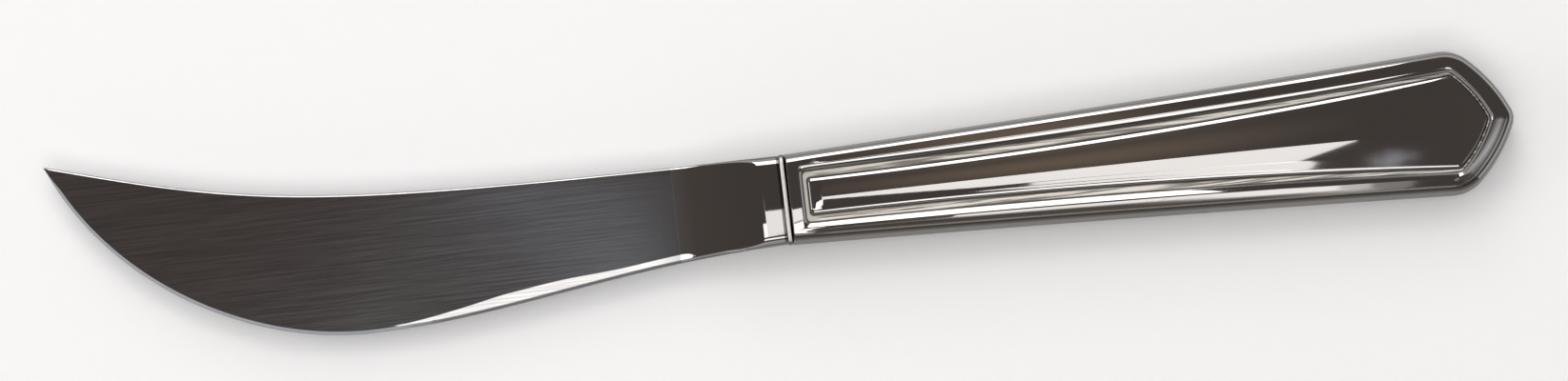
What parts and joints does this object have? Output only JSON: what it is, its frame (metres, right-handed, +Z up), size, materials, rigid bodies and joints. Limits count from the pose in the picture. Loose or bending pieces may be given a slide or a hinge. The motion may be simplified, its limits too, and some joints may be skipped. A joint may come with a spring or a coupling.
{
  "type": "rocker knife",
  "caption": "Table rocker knife for one-handed cutting: upswept curved blade with a rounded belly, flared bolster, and a hollow tapered handle with a stepped panel and a gabled butt.",
  "frame": {"origin": "centre of the bounding box at its bottom, in the plane of the handle's lower rim, on which the knife lies", "axes": "+X along the handle towards the butt, +Y towards the spine's side, +Z up, square to the blade's flats"},
  "size_m": [0.216, 0.0298, 0.0086],
  "materials": {
    "blade_steel": "satin",
    "handle_steel": "polished",
    "braze_metal": "satin",
    "handle_filling": "matte"
  },
  "bodies": {
    "root": {"blade": "blade_steel", "handle_front": "handle_steel", "handle_back": "handle_steel", "seam_braze": "braze_metal", "tang_cement": "handle_filling"}
  },
  "joints": []
}
